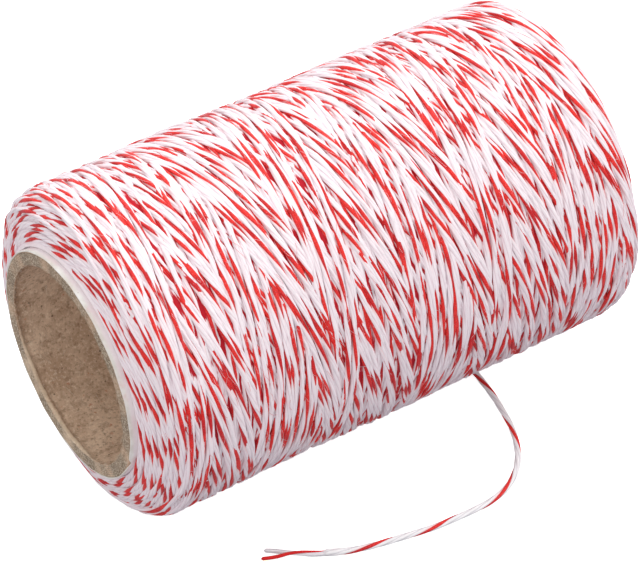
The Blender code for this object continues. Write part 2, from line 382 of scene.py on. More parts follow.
# %% Measure the route of the loose end
TWINE_DIAMETER = 1.56
LIFT = 0.02
CORD_STEP = 0.6
LOOSE_END_ROUTE = (
    (31.3, -10.9), (31.3, -16.8), (31.1, -22.5), (30.6, -28.6), (29.7, -34.3), (28.5, -39.9),
    (26.6, -44.9), (24.0, -49.4), (20.4, -53.3), (16.1, -56.0), (11.2, -57.4), (6.2, -57.7),
    (0.6, -57.6), (-4.8, -57.3), (-9.8, -56.5), (-14.9, -55.6), (-19.8, -54.6), (-24.5, -53.3),
    (-28.2, -51.8), (-31.2, -50.2),
)
RED_UP_AT = (12.1, 30.0, 47.2, 67.5, 83.8, 101.5)


def smooth_route(route, spacing):
    """Points at even steps on a smooth curve through a route's own points."""
    points = np.array(route, float)
    points = np.vstack([2 * points[0] - points[1], points, 2 * points[-1] - points[-2]])
    t = np.linspace(0, 1, 24, endpoint=False)[:, None]
    fine = [
        0.5 * (2 * b + (c - a) * t + (2 * a - 5 * b + 4 * c - d) * t**2 + (3 * b - a - 3 * c + d) * t**3)
        for a, b, c, d in zip(points, points[1:], points[2:], points[3:])
    ]
    fine = np.vstack([*fine, points[-2:-1]])
    lengths = lengths_along(fine)
    wanted = np.linspace(0, lengths[-1], max(round(lengths[-1] / spacing), 2) + 1)
    return np.stack([np.interp(wanted, lengths, fine[:, k]) for k in range(fine.shape[1])], axis=1)


flat_route = smooth_route(LOOSE_END_ROUTE, CORD_STEP)
cord_points = np.column_stack([flat_route, np.full(len(flat_route), TWINE_DIAMETER / 2 + LIFT)])
cord_run = lengths_along(cord_points)
print("twisted part of the loose end:", round(cord_run[-1], 1), "mm")

# %% Lay the loose end
CORD_SWELL_END = 0.14
RED_PLY_TURN = 0.25
cord_turns = np.interp(cord_run, RED_UP_AT, np.arange(len(RED_UP_AT)))
cord_turns += np.where(cord_run < RED_UP_AT[0], (cord_run - RED_UP_AT[0]) / 17.5, 0) + RED_PLY_TURN
cord_swell = 1 + CORD_SWELL_END * np.clip((cord_run - cord_run[-1] + 8) / 6, 0, 1)
cord_swell[[0, -1]] = 0.0
loose_wire = {
    "points": cord_points, "turns": cord_turns, "run": cord_run, "swell": cord_swell,
    "out": np.tile([0.0, 0.0, 1.0], (len(cord_points), 1)),
}
loose_end = wire_object("loose_end_twine", [loose_wire])
run_tree(loose_end, twine_tree, {
    "Radius": 0.79 * MM, "Valley Depth": 0.24, "Red Ply Share": 0.24, "Flatness": 0.0, "Spread": 1.0,
    "Lowest Point": 0.0, "Finish": loose_material,
})

# %% [markdown]
# ## The plies at the tip
# Untwisted plies are soft bundles: thin where they leave the twine, full in the middle, with a blunt
# frayed end. The red one and the white ones are laid with the same tree, with hardly any twist left.

# %% Lay the plies at the tip
RED_PLY_ROUTE = (
    (-30.4, -50.2, 0.95), (-31.8, -49.7, 1.1), (-33.5, -48.8, 1.2), (-35.9, -47.5, 1.3), (-38.4, -46.2, 0.95),
    (-41.1, -45.2, 0.5), (-44.5, -43.8, 0.47),
)
WHITE_PLIES_ROUTE = (
    (-30.2, -50.9, 0.7), (-31.8, -50.1, 0.62), (-33.9, -48.9, 0.62), (-36.1, -47.2, 0.62), (-38.2, -45.5, 0.62),
    (-40.4, -43.6, 0.62), (-42.6, -42.0, 0.62),
)


def ply_finish(name, lit, shaded):
    """One cotton ply in one colour, with its fibres along it."""
    material, tree, shader = new_finish(name, roughness=0.85, sheen=0.15)
    measure = add_node(tree, "ShaderNodeUVMap", uv_map=TWINE_MAP).outputs[0]
    stretch = vector_sum(tree, "MULTIPLY", measure, (0.35, 30.0, 1.0))
    fibres = noise(tree, stretch, 1.0, detail=4.0, roughness=0.65)
    colour = blend_colours(tree, remap(tree, fibres, 0.35, 0.7), shaded, lit)
    tree.links.new(colour, shader.inputs["Base Color"])
    bump = add_node(tree, "ShaderNodeBump", {"Strength": 0.5, "Distance": 0.0001, "Height": fibres})
    tree.links.new(bump.outputs[0], shader.inputs["Normal"])
    return material


red_material = ply_finish("red_cotton_ply", RED_LIT, RED_DEEP)
white_material = ply_finish("white_cotton_ply", WHITE_LIT, WHITE_SHADED)


def ply(name, route, diameter, fullness, groove, finish):
    """One untwisted bundle of fibres on its route, whose third number is the height of its middle."""
    points = smooth_route(route, 0.5)
    run = lengths_along(points)
    share = run / run[-1]
    swell = np.interp(share, [0, 0.2, 0.5, 0.8, 0.97, 1.0], fullness)
    swell[[0, -1]] = 0.0
    out = np.tile([0.0, 0.0, 1.0], (len(points), 1))
    wire = {"points": points, "turns": run / 60, "run": run, "swell": swell, "out": out}
    thing = wire_object(name, [wire])
    return run_tree(thing, twine_tree, {
        "Radius": diameter / 2 * MM, "Valley Depth": groove, "Red Ply Share": 0.25, "Flatness": 0.1,
        "Spread": 1.0, "Lowest Point": 0.0, "Finish": finish,
    })


RED_FULLNESS = (0.3, 0.55, 0.85, 1.0, 0.95, 0.6)
WHITE_FULLNESS = (1.1, 1.0, 0.95, 0.95, 0.85, 0.6)
red_ply = ply("red_ply_at_tip", RED_PLY_ROUTE, 0.98, RED_FULLNESS, 0.1, red_material)
white_plies = ply("white_plies_at_tip", WHITE_PLIES_ROUTE, 1.25, WHITE_FULLNESS, 0.3, white_material)

# %% [markdown]
# ## How the twine lies on the roll
# A winding machine lays the twine to and fro along the turning core, so half of the turns lean one way
# and half the other. Each new turn lies beside the last one of its own kind, which leaves bands where
# the back-leaning turns are on top and zones between them where the forward-leaning ones are. Where
# the two meet, one dives under the other. At each end the twine runs up on the rounded shoulder,
# turns and comes back. All of that is a rule, so the path is worked out in numbers: one long chain in
# which `run` along the face and `angle` round it give a point on the roll's face.

# %% Measure the roll's face
AXIS_HEIGHT = 40.8
FOOT_RADIUS = 28.7
WOUND_RADIUS, TAPER, COLLAR_RADIUS = 41.3, 0.0033, 29.5
NEAR_SHOULDER = {"end": -68.1, "length": 10.3, "rounding": 8.0, "power": 1.95}
FAR_SHOULDER = {"end": 67.0, "length": 8.15, "rounding": 8.15, "power": 2.33}
STRAIGHT_START = NEAR_SHOULDER["end"] + NEAR_SHOULDER["length"]
STRAIGHT_END = FAR_SHOULDER["end"] - FAR_SHOULDER["length"]
STRAIGHT = STRAIGHT_END - STRAIGHT_START
LUMPS = ((3, 0.09, 0.4), (5, -0.14, 2.1))


def shoulder(shape):
    """Places along the axis and radii on one shoulder, from the collar to the straight part."""
    turn = np.linspace(0, math.pi / 2, 160)
    power = 2 / shape["power"]
    inward = math.copysign(shape["rounding"], -shape["end"])
    x = shape["end"] + inward * (1 - np.cos(turn) ** power)
    radius = COLLAR_RADIUS + (WOUND_RADIUS - TAPER * x - COLLAR_RADIUS) * np.sin(turn) ** power
    return x, radius


near_x, near_radius = shoulder(NEAR_SHOULDER)
far_x, far_radius = shoulder(FAR_SHOULDER)
middle_x = np.linspace(STRAIGHT_START, STRAIGHT_END, 240)[1:-1]
face_x = np.concatenate([near_x[:1], near_x, middle_x, far_x[::-1], far_x[:1]])
face_radius = np.concatenate([
    [FOOT_RADIUS], near_radius, WOUND_RADIUS - TAPER * middle_x, far_radius[::-1], [FOOT_RADIUS],
])
face_run = lengths_along(np.column_stack([face_x, face_radius]))
NEAR_ARC = float(face_run[len(near_x)] + STRAIGHT_START - near_x[-1])
face_run -= NEAR_ARC
FAR_ARC = float(face_run[-1]) - STRAIGHT
slope = np.column_stack([np.gradient(face_x, face_run), np.gradient(face_radius, face_run)])
slope /= np.linalg.norm(slope, axis=1)[:, None]
print("shoulders, along the face:", round(NEAR_ARC, 1), "and", round(FAR_ARC, 1), "mm")


def on_face(run, angle, height):
    """Points on the roll's face, and the way out of it, for arrays of run, angle and height."""
    out_x = -np.interp(run, face_run, slope[:, 1])
    out_r = np.interp(run, face_run, slope[:, 0])
    x = np.interp(run, face_run, face_x)
    lump = sum(np.sin(a * angle + b * x + c) for a, b, c in LUMPS) / len(LUMPS) - 1
    level = height + 0.2 * lump
    radius = np.interp(run, face_run, face_radius) + out_r * level
    points = np.column_stack([x + out_x * level, -radius * np.sin(angle), AXIS_HEIGHT + radius * np.cos(angle)])
    out = np.column_stack([out_x, -out_r * np.sin(angle), out_r * np.cos(angle)])
    return points, out


# %% Say which turns lie on top
FIRST_BAND, BAND_PITCH, BAND_WIDTH = -42.5, 21.4, 11.2
BAND_SWING, BAND_PHASE = 7.5, math.radians(50)
DIVE = 0.9


def back_leaning_on_top(x, angle):
    """1 where the back-leaning turns are on top, -1 where the forward-leaning ones are."""
    inside = np.full(np.shape(x), -99.0)
    for band in range(-1, 6):
        start = FIRST_BAND + band * BAND_PITCH
        swing = BAND_SWING * np.cos(angle + BAND_PHASE) * (-1 if band % 2 == 0 else 1)
        width = BAND_WIDTH + swing + 0.5 * np.sin(7 * angle + 2.4 * band)
        inside = np.maximum(inside, np.minimum(x - start, start + width - x))
    inside = np.maximum(inside, STRAIGHT_START + 3.0 - x)
    inside = np.where(x > STRAIGHT_END + 1.0, -DIVE, inside)
    return np.sin(np.clip(inside / DIVE, -1, 1) * math.pi / 2)


# %% [markdown]
# ## The chain of turns
# Both kinds of turns are spread evenly round the roll, with small errors as a real machine makes. At
# each shoulder every arriving turn is matched with a leaving one. How far round they lie apart says
# how deep the twine runs down the shoulder before it comes back, on a smooth bend.

# %% Work out the chain of turns
TURNS = 30
LEAN = math.radians(8.5)
ADVANCE = WOUND_RADIUS * math.tan(LEAN)
BEND = 0.25
SHOULDER_REACH = (0.7, 5.0)
dice = np.random.default_rng(11)


def match_ends(arriving, leaving):
    """For each arriving turn, the leaving one that it becomes, and how far round that lies."""
    reach = dice.uniform(*SHOULDER_REACH, TURNS)
    by_wish = np.argsort((arriving + reach) % (2 * math.pi))
    by_place = np.argsort(leaving % (2 * math.pi))
    best = (math.inf, None, None)
    for shift in range(TURNS):
        partner = np.empty(TURNS, int)
        partner[by_wish] = np.roll(by_place, shift)
        apart = (leaving[partner] - arriving) % (2 * math.pi)
        cost = np.abs(apart - reach).sum() if apart.min() > SHOULDER_REACH[0] / 2 else math.inf
        if cost < best[0]:
            best = (cost, partner, apart)
    return best[1:]


def one_chain(back, forward):
    """Match both ends again and again until all turns hang together as one length of twine."""
    sweep = STRAIGHT / ADVANCE
    while True:
        near = match_ends(back, forward)
        far = match_ends(forward + sweep, back - sweep)
        if near[0] is None or far[0] is None:
            continue
        order = [0]
        while len(order) <= TURNS:
            order.append(int(far[0][near[0][order[-1]]]))
            if order[-1] == 0:
                break
        if len(order) == TURNS + 1:
            return order[:-1], near, far


spots = np.arange(TURNS) * 2 * math.pi / TURNS
back_turns = spots + dice.normal(0, 0.03, TURNS)
forward_turns = spots + 0.1 + dice.normal(0, 0.03, TURNS)
order, near_ends, far_ends = one_chain(back_turns, forward_turns)
print("turns of each kind:", TURNS, "in one chain of", len(order))

# %% Lay the chain on the face
ANGLE_STEP = 0.3 / WOUND_RADIUS
TOP_DEPTH, LAYER_DEPTH = 0.65, 0.55
WIDEST_GAP, GAP_AT = 1.9, 0.33


def foot_gap(angle):
    """How far the lowest turns stay off the near collar: more so on top of the roll."""
    from_widest = (angle - GAP_AT + math.pi) % (2 * math.pi) - math.pi
    return WIDEST_GAP * np.exp(-((from_widest / 0.42) ** 2))


def straight_turns(sign):
    """One pass over the straight part: back-leaning with sign 1, forward-leaning with -1."""
    angle = np.arange(0, STRAIGHT / ADVANCE, ANGLE_STEP)
    run = STRAIGHT - ADVANCE * angle if sign > 0 else ADVANCE * angle
    return run, angle, np.full(len(angle), float(sign))


def shoulder_turn(apart, end):
    """A bend on a shoulder: out of the straight part, round the roll and back."""
    angle = np.arange(0, apart, ANGLE_STEP)
    bend = (angle - apart / 2) / BEND
    depth = ADVANCE * BEND * (math.hypot(1, apart / 2 / BEND) - 1)
    run = ADVANCE * BEND * (np.hypot(1, bend) - 1) - depth
    if end == "far":
        run = STRAIGHT - run
    return run, angle, np.tanh(bend) * (-1 if end == "near" else 1), depth


def slow_noise(count, spacing, size):
    """Smooth random values along a chain."""
    knots = dice.normal(0, size, int(count / spacing) + 4)
    return np.interp(np.arange(count) / spacing, np.arange(len(knots)), knots)


def smoothed(values, width):
    """A running mean."""
    padded = np.pad(values, width // 2, mode="edge")
    return np.convolve(padded, np.ones(width) / width, mode="valid")[: len(values)]


parts, depths, whole, first_of_round = [], [], back_turns[0] - STRAIGHT / ADVANCE, []
for turn in order:
    partner = near_ends[0][turn]
    first_of_round.append(sum(len(part[0]) for part in parts))
    for part in (
        straight_turns(1), shoulder_turn(near_ends[1][turn], "near"),
        straight_turns(-1), shoulder_turn(far_ends[1][partner], "far"),
    ):
        parts.append((part[0], whole + part[1], part[2]))
        whole += part[1][-1] + ANGLE_STEP
        depths += list(part[3:])
run, angle, kind = (np.concatenate([part[k] for part in parts]) for k in range(3))
run = smoothed(run, 21) + smoothed(slow_noise(len(run), 28, 0.14), 31)
run = np.clip(run, 0.8 - NEAR_ARC + foot_gap(angle), STRAIGHT + FAR_ARC - 0.8)
on_top = kind * back_leaning_on_top(np.interp(run, face_run, face_x), angle)
height = -TOP_DEPTH - LAYER_DEPTH / 2 * (1 - on_top) + smoothed(slow_noise(len(run), 20, 0.1), 21)
chain_points, chain_out = on_face(run, angle, height)
chain_length = lengths_along(chain_points)
print("deepest bends on the shoulders, mm:", round(max(depths), 1), "of", round(min(NEAR_ARC, FAR_ARC), 1))
print("twine in the outer layers:", round(chain_length[-1] / 1000, 1), "m")

# %% Twist the chain and choose its points
PITCH = 23.0
FINE_STEP, COARSE_STEP = 1.8, 4.5
PIECES = 4

pitch = PITCH * np.exp(np.clip(smoothed(slow_noise(len(run), 130, 0.28), 61), -0.5, 0.7))
chain_turns = np.concatenate([[0.0], np.cumsum(np.diff(chain_length) / pitch[1:])])
chain_swell = 1 + smoothed(slow_noise(len(run), 14, 0.09), 15)
spacing = smoothed(np.where(on_top > -0.5, FINE_STEP, COARSE_STEP), 9)
rings = np.concatenate([[0.0], np.cumsum(np.diff(chain_length) / spacing[1:])])


def stretch_of_chain(start, stop):
    """A wire from one stretch of the chain, with close points where the twine shows."""
    picks = np.arange(rings[start], rings[stop], 1.0)
    picks = np.interp(picks, rings, np.arange(len(rings)))

    def taken(values):
        columns = values.reshape(len(values), -1)
        found = [np.interp(picks, np.arange(len(values)), columns[:, k]) for k in range(columns.shape[1])]
        return found[0] if values.ndim == 1 else np.column_stack(found)

    wire = {
        "points": taken(chain_points), "turns": taken(chain_turns), "run": taken(chain_length),
        "swell": taken(chain_swell), "out": taken(chain_out),
    }
    wire["swell"][[0, -1]] = 0.0
    return wire


def hidden_spot(round_start):
    """The place in a round's first pass that lies deepest under the other turns."""
    window = slice(round_start + 300, round_start + 1500)
    return round_start + 300 + int(np.argmin(smoothed(on_top, 41)[window]))


cuts = [hidden_spot(first_of_round[round(k * TURNS / PIECES)]) for k in range(PIECES)]
stretches = [stretch_of_chain(a, b) for a, b in zip(cuts, cuts[1:])]
last = [stretch_of_chain(cuts[-1], len(run) - 1), stretch_of_chain(0, cuts[0])]
WOUND = {
    "Radius": 0.72 * MM, "Valley Depth": 0.17, "Red Ply Share": 0.28, "Flatness": 0.08, "Spread": 1.02,
    "Lowest Point": 0.02 * MM, "Finish": wound_material,
}
wound_pieces = []
for number, wires in enumerate([[stretch] for stretch in stretches] + [last], start=1):
    wound_pieces.append(run_tree(wire_object(f"wound_twine_{number}", wires), twine_tree, WOUND))

# %% [markdown]
# ## The turns beneath, on the shoulders
# On the shoulders the turns thin out towards the tube, and the layer beneath shows: turns that run
# almost straight round, close together. One spiral on each shoulder stands for them.


# %% Lay the turns on the shoulders
ROW_WIDTH = 1.35
SHOULDER_PITCH = 14.0


def shoulder_spiral(name, end):
    """Close turns round one shoulder, from the collar to the straight part."""
    arc = NEAR_ARC if end == "near" else FAR_ARC
    rows = arc / ROW_WIDTH
    angle = np.arange(0, rows * 2 * math.pi, 0.3 / 36)
    out = 0.62 + ROW_WIDTH * angle / (2 * math.pi)
    out = np.maximum(out + smoothed(slow_noise(len(angle), 60, 0.3), 51), 0.6)
    if end == "near":
        out = np.maximum(out, 0.6 + foot_gap(angle) + (out - 0.6) * 0.8)
    run = out - arc if end == "near" else STRAIGHT + arc - out
    sunk = -TOP_DEPTH - LAYER_DEPTH * np.clip(out / arc * 1.6, 0.0, 1.1)
    points, way_out = on_face(run, angle, sunk)
    length = lengths_along(points)
    picks = np.linspace(0, len(length) - 1, int(length[-1] / 2.0)).astype(int)
    swell = 1 + smoothed(slow_noise(len(length), 14, 0.09), 15)
    swell[[0, -1]] = 0.0
    wire = {
        "points": points[picks], "turns": length[picks] / SHOULDER_PITCH, "run": length[picks],
        "swell": swell[picks], "out": way_out[picks],
    }
    return run_tree(wire_object(name, [wire]), twine_tree, WOUND)


wound_pieces.append(shoulder_spiral("shoulder_turns_near", "near"))
wound_pieces.append(shoulder_spiral("shoulder_turns_far", "far"))

# %% [markdown]
# ## The bed of twine beneath
# Between the turns one looks into the layers beneath. A closed sleeve just under them stops the view,
# with ridges and a red and white finish of its own that runs round it.

# %% Make the bed
BED_DEPTH = 1.05
BED_SIDES = 120


def closed_sleeve(name, rings, material):
    """A solid of revolution from closed rings of points, with its faces pointing out."""
    work = bmesh.new()
    rows = [[work.verts.new(Vector(point) * MM) for point in ring] for ring in rings]
    for first, second in zip(rows, rows[1:] + rows[:1]):
        for k in range(len(first)):
            after = (k + 1) % len(first)
            work.faces.new((first[k], first[after], second[after], second[k]))
    bmesh.ops.recalc_face_normals(work, faces=work.faces)
    mesh = bpy.data.meshes.new(name)
    work.to_mesh(mesh)
    work.free()
    mesh.shade_smooth()
    mesh.materials.append(material)
    thing = bpy.data.objects.new(name, mesh)
    bpy.context.scene.collection.objects.link(thing)
    print(name, "has", 2 * len(mesh.polygons), "triangles")
    return thing


def around(radius, x, sides):
    """A ring of points about the roll's axis. Radius and x may be arrays, one value a point."""
    turn = np.arange(sides) * 2 * math.pi / sides
    x = np.broadcast_to(x, sides)
    return np.column_stack([x, -radius * np.sin(turn), AXIS_HEIGHT + radius * np.cos(turn)])


def bed_finish():
    """Deep layers of the same twine: a pale pink white with painted light, and short red dashes."""
    material, tree, shader = new_finish("deep_layers", roughness=0.95)
    place = add_node(tree, "ShaderNodeTexCoord").outputs["Object"]
    dashes = noise(tree, vector_sum(tree, "MULTIPLY", place, (900.0, 160.0, 160.0)), 1.0, detail=2.0)
    along = add_node(tree, "ShaderNodeSeparateXYZ", {0: place}).outputs[0]
    from_foot = (NEAR_SHOULDER["end"] + 2.2) * MM
    red_share = sum_of(tree, "MULTIPLY", remap(tree, dashes, 0.41, 0.50), remap(tree, along, from_foot, from_foot + 1.0 * MM))
    # The white is a little paler than the twine's own: painted light that lifts the shade in the gaps.
    colour = blend_colours(tree, red_share, (0.97, 0.88, 0.91), (0.50, 0.015, 0.028))
    tree.links.new(colour, shader.inputs["Base Color"])
    return material


bed_runs = np.concatenate([
    np.linspace(-NEAR_ARC + 0.4, 0, 14), np.linspace(0, STRAIGHT, 40)[1:-1],
    np.linspace(STRAIGHT, STRAIGHT + FAR_ARC - 0.4, 14),
])
bed_turn = np.arange(BED_SIDES) * 2 * math.pi / BED_SIDES
bed_rings = []
for spot in bed_runs:
    depth = min(BED_DEPTH, 0.3 + 0.5 * min(spot + NEAR_ARC, STRAIGHT + FAR_ARC - spot))
    bed_rings.append(on_face(np.full(BED_SIDES, spot), bed_turn, np.full(BED_SIDES, -depth))[0])
bed_rings += [around(28.8, x, BED_SIDES) for x in (FAR_SHOULDER["end"] - 0.5, NEAR_SHOULDER["end"] + 0.5)]
bed = closed_sleeve("deep_layers_of_twine", bed_rings, bed_finish())

# %% [markdown]
# ## Stray fibres
# Cotton twine is never quite clean: short fibres lift off it and cross their neighbours. Each fibre is
# a short bowed wire with a three-sided section. There are thousands, so each has only a few faces.

# %% Lay the stray fibres
FIBRES = 2600
FIBRE_POINTS = 5


def build_fibre_tree():
    """The tree that gives thin wires a three-sided body."""
    tree, given, output = new_tree("stray_fibre", ("Radius",))
    wire = add_node(tree, "GeometryNodeMeshToCurve", {"Mesh": given["Geometry"]}).outputs[0]
    ring = add_node(tree, "GeometryNodeCurvePrimitiveCircle", {"Resolution": 3, "Radius": given["Radius"]})
    feeds = {"Curve": wire, "Profile Curve": ring.outputs[0], "Fill Caps": True}
    body = add_node(tree, "GeometryNodeCurveToMesh", feeds).outputs[0]
    close_tree(tree, body, given["Finish"], output)
    return tree


def fibre_wires(count):
    """Short bowed wires that start and end on turns that show."""
    shown = np.flatnonzero(on_top > 0.6)
    shown = shown[(shown > 2) & (shown < len(run) - 3)]
    wires = []
    for pick in dice.choice(shown, count):
        out = chain_out[pick]
        along = chain_points[pick + 2] - chain_points[pick - 2]
        along /= np.linalg.norm(along)
        side = np.cross(out, along)
        turn = dice.normal(0.2, 0.35)
        way = along * math.cos(turn) + side * math.sin(turn)
        share = np.linspace(-0.5, 0.5, FIBRE_POINTS)[:, None]
        length, lift, bow = dice.uniform(1.5, 4.5), abs(dice.normal(0, 0.12)), dice.normal(0, 0.25)
        middle = chain_points[pick] + side * dice.uniform(-0.5, 0.5) + out * 0.68
        arch = 1 - 4 * share**2
        points = middle + way * share * length + np.cross(out, way) * bow * arch + out * (lift * arch - 0.05)
        points[:, 2] = np.maximum(points[:, 2], 0.06)
        wires.append({"points": points})
    return wires


fibre_tree = build_fibre_tree()
pale_fibres = wire_object("stray_white_fibres", fibre_wires(FIBRES * 9 // 10))
run_tree(pale_fibres, fibre_tree, {"Radius": 0.028 * MM, "Finish": white_material})
red_fibres = wire_object("stray_red_fibres", fibre_wires(FIBRES // 10))
run_tree(red_fibres, fibre_tree, {"Radius": 0.028 * MM, "Finish": red_material})

# %% [markdown]
# ## The board tube
# The core is a tube of brown recycled board. Its rim shows the layers of paper that it was wound
# from, its bore is rough and flecked, and the seam of the innermost layer runs round it in a long
# spiral. The section is turned about the axis in rings, with a small step at each layer.

# %% Make the board tube
TUBE_HALF, BORE_RADIUS, BOARD_RADIUS = 69.5, 24.85, 28.15
TUBE_SIDES = 200
SEAM_TURN = 0.035
WORN_SIDE = (0.0, 0.34, -0.94)
LIP_ROOM = 4.5
LIP_DEPTHS = ((0, 150, 175, 205, 230, 260, 290, 360), (0, 0, 0.7, 0.9, 0.6, 0.1, 0, 0))
LIP_HEIGHTS = ((0, 150, 165, 240, 290, 310, 360), (0, 0, 0.18, 0.16, 0.08, 0, 0))


def board_finish():
    """Recycled brown board: flecks, pale fibres and paper layers."""
    material, tree, shader = new_finish("kraft_board_bore_and_rim", roughness=0.9)
    place = add_node(tree, "ShaderNodeTexCoord").outputs["Object"]
    cloud = noise(tree, place, 90.0, detail=5.0, roughness=0.6)
    mottle = noise(tree, place, 420.0, detail=3.0, roughness=0.6)
    grain = noise(tree, place, 1300.0, detail=4.0, roughness=0.7)
    fleck = add_node(tree, "ShaderNodeTexVoronoi", {"Vector": place, "Scale": 300.0}).outputs[0]
    rust = noise(tree, vector_sum(tree, "ADD", place, (0.3, 0.1, 0.2)), 520.0, detail=2.0)
    colour = blend_colours(tree, remap(tree, cloud, 0.35, 0.68), (0.54, 0.365, 0.245), (0.79, 0.59, 0.425))
    colour = blend_colours(tree, remap(tree, mottle, 0.52, 0.32, 0.0, 0.6), colour, (0.38, 0.24, 0.155))
    colour = blend_colours(tree, remap(tree, grain, 0.53, 0.66, 0.0, 0.6), colour, (0.92, 0.76, 0.59))
    colour = blend_colours(tree, remap(tree, grain, 0.46, 0.34, 0.0, 0.6), colour, (0.25, 0.155, 0.10))
    colour = blend_colours(tree, remap(tree, rust, 0.66, 0.74, 0.0, 0.6), colour, (0.52, 0.19, 0.11))
    colour = blend_colours(tree, remap(tree, fleck, 0.10, 0.05, 0.0, 0.75), colour, (0.13, 0.08, 0.055))
    centred = vector_sum(tree, "SUBTRACT", place, (0.0, 0.0, AXIS_HEIGHT * MM))
    flat = vector_sum(tree, "MULTIPLY", centred, (0.0, 1.0, 1.0))
    radius = vector_sum(tree, "LENGTH", flat, output=1)
    layers = sum_of(tree, "MULTIPLY", radius, 2 * math.pi / (0.47 * MM))
    layers = sum_of(tree, "SINE", sum_of(tree, "MULTIPLY_ADD", mottle, 9.0, layers))
    crumbs = noise(tree, place, 2000.0, detail=2.0, roughness=0.6)
    ends = sum_of(tree, "ABSOLUTE", add_node(tree, "ShaderNodeSeparateXYZ", {0: place}).outputs[0])
    rim = remap(tree, ends, (TUBE_HALF - 0.25) * MM, (TUBE_HALF - 0.05) * MM)
    cut_edge = blend_colours(tree, remap(tree, layers, -0.6, 0.9), (0.34, 0.265, 0.19), (0.25, 0.19, 0.135))
    cut_edge = blend_colours(tree, remap(tree, crumbs, 0.48, 0.38, 0.0, 0.8), cut_edge, (0.16, 0.12, 0.085))
    cut_edge = blend_colours(tree, remap(tree, crumbs, 0.52, 0.62, 0.0, 0.8), cut_edge, (0.62, 0.54, 0.42))
    colour = blend_colours(tree, sum_of(tree, "MULTIPLY", rim, 0.95), colour, cut_edge)
    along = add_node(tree, "ShaderNodeSeparateXYZ", {0: place}).outputs[0]
    worn = noise(tree, place, 150.0, detail=2.0)
    inner = sum_of(tree, "MULTIPLY_ADD", worn, 0.0012, (0.2 - TUBE_HALF) * MM)
    to_worn_side = vector_sum(tree, "DOT_PRODUCT", flat, WORN_SIDE, output=1)
    band = sum_of(
        tree, "MULTIPLY", remap(tree, sum_of(tree, "SUBTRACT", along, inner), 0.5 * MM, 0.0, 0.0, 0.45),
        remap(tree, to_worn_side, 14.0 * MM, 21.0 * MM),
    )
    band = sum_of(tree, "MULTIPLY", band, sum_of(tree, "SUBTRACT", 1.0, rim))
    colour = blend_colours(tree, band, colour, (0.80, 0.66, 0.49))
    tree.links.new(colour, shader.inputs["Base Color"])
    feeds = {"Strength": 0.6, "Distance": 0.0002, "Height": grain}
    bump = add_node(tree, "ShaderNodeBump", feeds)
    tree.links.new(bump.outputs[0], shader.inputs["Normal"])
    return material


def tube_rings():
    """Rings of the tube's section: the outside, a layered rim at each end, and the bore."""
    turn = np.arange(TUBE_SIDES) * 2 * math.pi / TUBE_SIDES
    rings = []

    def rim(sign):
        steps = np.linspace(0, 1, 25)
        radii = BOARD_RADIUS - 0.12 + (BORE_RADIUS + 0.12 - BOARD_RADIUS + 0.12) * steps
        layer = 0.04 * np.sin(steps * 2 * math.pi * 6)
        wear = 0.05 * np.sin(9 * turn + 1) + 0.04 * np.sin(23 * turn)
        made = [around(radius, sign * (TUBE_HALF - 0.1 + depth + wear), TUBE_SIDES)
                for radius, depth in zip(radii, layer)]
        return made if sign > 0 else made[::-1]

    def bore(x, proud=0.0):
        seam = (turn - 3.5 + SEAM_TURN * (x + TUBE_HALF)) % (2 * math.pi)
        ledge = 0.12 * np.clip(1 - seam / 0.5, 0, 1)
        rough = 0.05 * np.sin(11 * turn + 0.3 * x) + 0.04 * np.sin(29 * turn - 0.5 * x)
        return around(BORE_RADIUS + 0.1 - ledge + rough - proud, x, TUBE_SIDES)

    rings += [around(BOARD_RADIUS, x, TUBE_SIDES) for x in (0.5 - TUBE_HALF, 0.0, TUBE_HALF - 0.5)]
    rings += rim(1)
    rings += [bore(x) for x in np.linspace(TUBE_HALF - 0.5, LIP_ROOM - TUBE_HALF, 66)]
    degrees = np.degrees(turn)
    lip = 0.35 + np.interp(degrees, *LIP_DEPTHS) + 0.08 * np.sin(13 * turn) + 0.05 * np.sin(31 * turn)
    proud = np.interp(degrees, *LIP_HEIGHTS)
    for share in (0.35, 0.7):
        rings.append(bore(LIP_ROOM - TUBE_HALF + (lip + 0.3 - LIP_ROOM) * share))
    rings += [bore(lip - TUBE_HALF + 0.22, -0.06), bore(lip - TUBE_HALF + 0.08, proud * 0.8)]
    rings += [bore(lip * share - TUBE_HALF, proud) for share in (0.95, 0.6)]
    rings += rim(-1)
    return rings


board_tube = closed_sleeve("board_tube", tube_rings(), board_finish())

# %% Lay the pale fibres in the board
BORE_FIBRES, EDGE_FIBRES = 520, 160


def bore_fibre_wires():
    """Short fibres in the bore's surface, and more of them along its worn near edge."""
    wires = []
    for number in range(BORE_FIBRES + EDGE_FIBRES):
        at_edge = number >= BORE_FIBRES
        x = dice.uniform(0.0, 0.7) - TUBE_HALF if at_edge else TUBE_HALF * dice.uniform(-0.99, 0.99)
        turn = dice.uniform(0, 2 * math.pi)
        way = dice.normal(0, 0.5) if at_edge else dice.uniform(0, math.pi)
        length, bow = dice.uniform(0.8, 2.0) if at_edge else dice.uniform(1.0, 4.0), dice.normal(0, 0.25)
        share = np.linspace(-0.5, 0.5, FIBRE_POINTS)
        arch = 1 - 4 * share**2
        around_by = turn + (length * share * math.cos(way) - bow * arch * math.sin(way)) / BORE_RADIUS
        x = x + length * share * math.sin(way) + bow * arch * math.cos(way)
        radius = BORE_RADIUS + 0.02 - (0.12 if at_edge else 0.22) * arch * dice.uniform(0.3, 1.0)
        up = AXIS_HEIGHT + radius * np.cos(around_by)
        wires.append({"points": np.column_stack([x, -radius * np.sin(around_by), up])})
    return wires


bore_material = ply_finish("pale_board_fibre", (0.88, 0.76, 0.60), (0.60, 0.46, 0.33))
board_fibres = wire_object("board_fibres", bore_fibre_wires())
run_tree(board_fibres, fibre_tree, {"Radius": 0.05 * MM, "Finish": bore_material})

# %% [markdown]
# ## The paper wrap
# A last layer of white paper is glued round the tube. It shows as a narrow white collar, and it is
# torn a little at one place on the rim.


